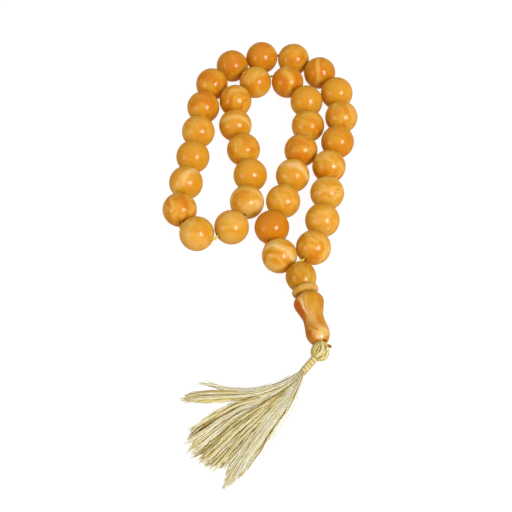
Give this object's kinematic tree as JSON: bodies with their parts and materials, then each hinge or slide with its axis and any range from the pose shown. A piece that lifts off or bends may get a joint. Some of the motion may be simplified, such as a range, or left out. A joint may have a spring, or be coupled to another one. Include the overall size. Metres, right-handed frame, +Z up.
{
  "type": "misbaha prayer beads",
  "caption": "Closed strand of round marbled amber-resin beads on a cord, joined by a three-piece turned imame with a pale thread tassel, lying folded flat.",
  "frame": {"origin": "middle of the bottom of the object's box, on the surface that it lies on", "axes": "+Z up, +Y from the tassel towards the far end of the bead loop, +X to the right seen from the tassel's end"},
  "size_m": [0.07, 0.1826, 0.012],
  "materials": {
    "bead_resin": "polished cast resin, marbled amber",
    "knob_resin": "polished cast resin, brown amber",
    "collar_resin": "polished cast resin, cream amber",
    "body_resin": "polished cast resin, streaked amber",
    "cord_nylon": "twisted yellow nylon cord",
    "knot_nylon": "knotted nylon with a melted brown end",
    "tassel_thread": "pale straw rayon thread"
  },
  "bodies": {
    "string": {"string_cord": "cord_nylon", "string_knot": "knot_nylon"},
    "tassel": {"tassel_head": "tassel_thread", "neck_binding": "tassel_thread"},
    "skirt": {"skirt_lock_1": "tassel_thread", "skirt_lock_2": "tassel_thread", "skirt_lock_3": "tassel_thread", "skirt_lock_4": "tassel_thread"},
    "imame_knob": {"imame_knob": "knob_resin"},
    "imame_collar": {"imame_collar": "collar_resin"},
    "imame_body": {"imame_body": "body_resin"},
    "bead_01": {"bead_01": "bead_resin"},
    "bead_02": {"bead_02": "bead_resin"},
    "bead_03": {"bead_03": "bead_resin"},
    "bead_04": {"bead_04": "bead_resin"},
    "bead_05": {"bead_05": "bead_resin"},
    "bead_06": {"bead_06": "bead_resin"},
    "bead_07": {"bead_07": "bead_resin"},
    "bead_08": {"bead_08": "bead_resin"},
    "bead_09": {"bead_09": "bead_resin"},
    "bead_10": {"bead_10": "bead_resin"},
    "bead_11": {"bead_11": "bead_resin"},
    "bead_12": {"bead_12": "bead_resin"},
    "bead_13": {"bead_13": "bead_resin"},
    "bead_14": {"bead_14": "bead_resin"},
    "bead_15": {"bead_15": "bead_resin"},
    "bead_16": {"bead_16": "bead_resin"},
    "bead_17": {"bead_17": "bead_resin"},
    "bead_18": {"bead_18": "bead_resin"},
    "bead_19": {"bead_19": "bead_resin"},
    "bead_20": {"bead_20": "bead_resin"},
    "bead_21": {"bead_21": "bead_resin"},
    "bead_22": {"bead_22": "bead_resin"},
    "bead_23": {"bead_23": "bead_resin"},
    "bead_24": {"bead_24": "bead_resin"},
    "bead_25": {"bead_25": "bead_resin"},
    "bead_26": {"bead_26": "bead_resin"},
    "bead_27": {"bead_27": "bead_resin"},
    "bead_28": {"bead_28": "bead_resin"},
    "bead_29": {"bead_29": "bead_resin"},
    "bead_30": {"bead_30": "bead_resin"},
    "bead_31": {"bead_31": "bead_resin"},
    "bead_32": {"bead_32": "bead_resin"},
    "bead_33": {"bead_33": "bead_resin"}
  },
  "joints": [
    {"name": "tassel_swing", "type": "hinge", "parent": "string", "child": "tassel", "pos_m": [0.01796, -0.04493, 0.003], "axis": [0, 0, 1], "range_deg": [-30, 60]},
    {"name": "skirt_bend", "type": "hinge", "parent": "tassel", "child": "skirt", "pos_m": [0.01215, -0.05161, 0.0009], "axis": [0, 0, 1], "range_deg": [-30, 30]},
    {"name": "knob_spin", "type": "hinge", "parent": "string", "child": "imame_knob", "pos_m": [0.0124, -0.0172, 0.006], "axis": [0.2324, -0.9679, -0.0954], "continuous": true},
    {"name": "collar_spin", "type": "hinge", "parent": "string", "child": "imame_collar", "pos_m": [0.01376, -0.02286, 0.00544], "axis": [0.2324, -0.9679, -0.0954], "continuous": true},
    {"name": "body_spin", "type": "hinge", "parent": "string", "child": "imame_body", "pos_m": [0.01825, -0.04159, 0.0036], "axis": [0.2324, -0.9679, -0.0954], "continuous": true},
    {"name": "bead_01_spin", "type": "hinge", "parent": "string", "child": "bead_01", "pos_m": [0.01695, -0.00539, 0.006], "axis": [0.5808, 0.814, 0], "continuous": true},
    {"name": "bead_02_spin", "type": "hinge", "parent": "string", "child": "bead_02", "pos_m": [0.02039, 0.00634, 0.006], "axis": [0.227, 0.9739, 0], "continuous": true},
    {"name": "bead_03_spin", "type": "hinge", "parent": "string", "child": "bead_03", "pos_m": [0.02249, 0.01838, 0.006], "axis": [0.129, 0.9916, 0], "continuous": true},
    {"name": "bead_04_spin", "type": "hinge", "parent": "string", "child": "bead_04", "pos_m": [0.02354, 0.03058, 0.006], "axis": [0.1895, 0.9819, 0], "continuous": true},
    {"name": "bead_05_spin", "type": "hinge", "parent": "string", "child": "bead_05", "pos_m": [0.0271, 0.04227, 0.006], "axis": [0.2241, 0.9746, 0], "continuous": true},
    {"name": "bead_06_spin", "type": "hinge", "parent": "string", "child": "bead_06", "pos_m": [0.02901, 0.05436, 0.006], "axis": [0.0272, 0.9996, 0], "continuous": true},
    {"name": "bead_07_spin", "type": "hinge", "parent": "string", "child": "bead_07", "pos_m": [0.02776, 0.06654, 0.006], "axis": [-0.305, 0.9523, 0], "continuous": true},
    {"name": "bead_08_spin", "type": "hinge", "parent": "string", "child": "bead_08", "pos_m": [0.02172, 0.07715, 0.006], "axis": [-0.6641, 0.7476, 0], "continuous": true},
    {"name": "bead_09_spin", "type": "hinge", "parent": "string", "child": "bead_09", "pos_m": [0.01188, 0.08441, 0.006], "axis": [-0.937, 0.3493, 0], "continuous": true},
    {"name": "bead_10_spin", "type": "hinge", "parent": "string", "child": "bead_10", "pos_m": [-0.00032, 0.08536, 0.006], "axis": [-0.9888, -0.1494, 0], "continuous": true},
    {"name": "bead_11_spin", "type": "hinge", "parent": "string", "child": "bead_11", "pos_m": [-0.01167, 0.08086, 0.006], "axis": [-0.8012, -0.5984, 0], "continuous": true},
    {"name": "bead_12_spin", "type": "hinge", "parent": "string", "child": "bead_12", "pos_m": [-0.01923, 0.07123, 0.006], "axis": [-0.4388, -0.8986, 0], "continuous": true},
    {"name": "bead_13_spin", "type": "hinge", "parent": "string", "child": "bead_13", "pos_m": [-0.02217, 0.05937, 0.006], "axis": [-0.1828, -0.9831, 0], "continuous": true},
    {"name": "bead_14_spin", "type": "hinge", "parent": "string", "child": "bead_14", "pos_m": [-0.02369, 0.04723, 0.006], "axis": [-0.1273, -0.9919, 0], "continuous": true},
    {"name": "bead_15_spin", "type": "hinge", "parent": "string", "child": "bead_15", "pos_m": [-0.02528, 0.03513, 0.006], "axis": [-0.1482, -0.989, 0], "continuous": true},
    {"name": "bead_16_spin", "type": "hinge", "parent": "string", "child": "bead_16", "pos_m": [-0.02731, 0.02304, 0.006], "axis": [-0.1549, -0.9879, 0], "continuous": true},
    {"name": "bead_17_spin", "type": "hinge", "parent": "string", "child": "bead_17", "pos_m": [-0.02907, 0.01097, 0.006], "axis": [0.195, -0.9808, 0], "continuous": true},
    {"name": "bead_18_spin", "type": "hinge", "parent": "string", "child": "bead_18", "pos_m": [-0.02283, 0.00048, 0.006], "axis": [0.9207, -0.3902, 0], "continuous": true},
    {"name": "bead_19_spin", "type": "hinge", "parent": "string", "child": "bead_19", "pos_m": [-0.01095, 0.00329, 0.006], "axis": [0.7774, 0.629, 0], "continuous": true},
    {"name": "bead_20_spin", "type": "hinge", "parent": "string", "child": "bead_20", "pos_m": [-0.00572, 0.01433, 0.006], "axis": [0.2633, 0.9647, 0], "continuous": true},
    {"name": "bead_21_spin", "type": "hinge", "parent": "string", "child": "bead_21", "pos_m": [-0.00461, 0.02653, 0.006], "axis": [-0.0562, 0.9984, 0], "continuous": true},
    {"name": "bead_22_spin", "type": "hinge", "parent": "string", "child": "bead_22", "pos_m": [-0.00707, 0.0385, 0.006], "axis": [-0.2266, 0.974, 0], "continuous": true},
    {"name": "bead_23_spin", "type": "hinge", "parent": "string", "child": "bead_23", "pos_m": [-0.01014, 0.05031, 0.006], "axis": [-0.1302, 0.9915, 0], "continuous": true},
    {"name": "bead_24_spin", "type": "hinge", "parent": "string", "child": "bead_24", "pos_m": [-0.01023, 0.06257, 0.006], "axis": [0.3177, 0.9482, 0], "continuous": true},
    {"name": "bead_25_spin", "type": "hinge", "parent": "string", "child": "bead_25", "pos_m": [-0.00281, 0.07226, 0.006], "axis": [0.8948, 0.4465, 0], "continuous": true},
    {"name": "bead_26_spin", "type": "hinge", "parent": "string", "child": "bead_26", "pos_m": [0.00941, 0.07236, 0.006], "axis": [0.8861, -0.4635, 0], "continuous": true},
    {"name": "bead_27_spin", "type": "hinge", "parent": "string", "child": "bead_27", "pos_m": [0.01631, 0.06225, 0.006], "axis": [0.3038, -0.9527, 0], "continuous": true},
    {"name": "bead_28_spin", "type": "hinge", "parent": "string", "child": "bead_28", "pos_m": [0.01654, 0.05005, 0.006], "axis": [-0.1084, -0.9941, 0], "continuous": true},
    {"name": "bead_29_spin", "type": "hinge", "parent": "string", "child": "bead_29", "pos_m": [0.01368, 0.03816, 0.006], "axis": [-0.2482, -0.9687, 0], "continuous": true},
    {"name": "bead_30_spin", "type": "hinge", "parent": "string", "child": "bead_30", "pos_m": [0.01048, 0.02638, 0.006], "axis": [-0.2768, -0.9609, 0], "continuous": true},
    {"name": "bead_31_spin", "type": "hinge", "parent": "string", "child": "bead_31", "pos_m": [0.00692, 0.0147, 0.006], "axis": [-0.3102, -0.9507, 0], "continuous": true},
    {"name": "bead_32_spin", "type": "hinge", "parent": "string", "child": "bead_32", "pos_m": [0.0029, 0.00317, 0.006], "axis": [-0.0655, -0.9978, 0], "continuous": true},
    {"name": "bead_33_spin", "type": "hinge", "parent": "string", "child": "bead_33", "pos_m": [0.00539, -0.00879, 0.006], "axis": [0.7622, -0.6473, 0], "continuous": true}
  ]
}
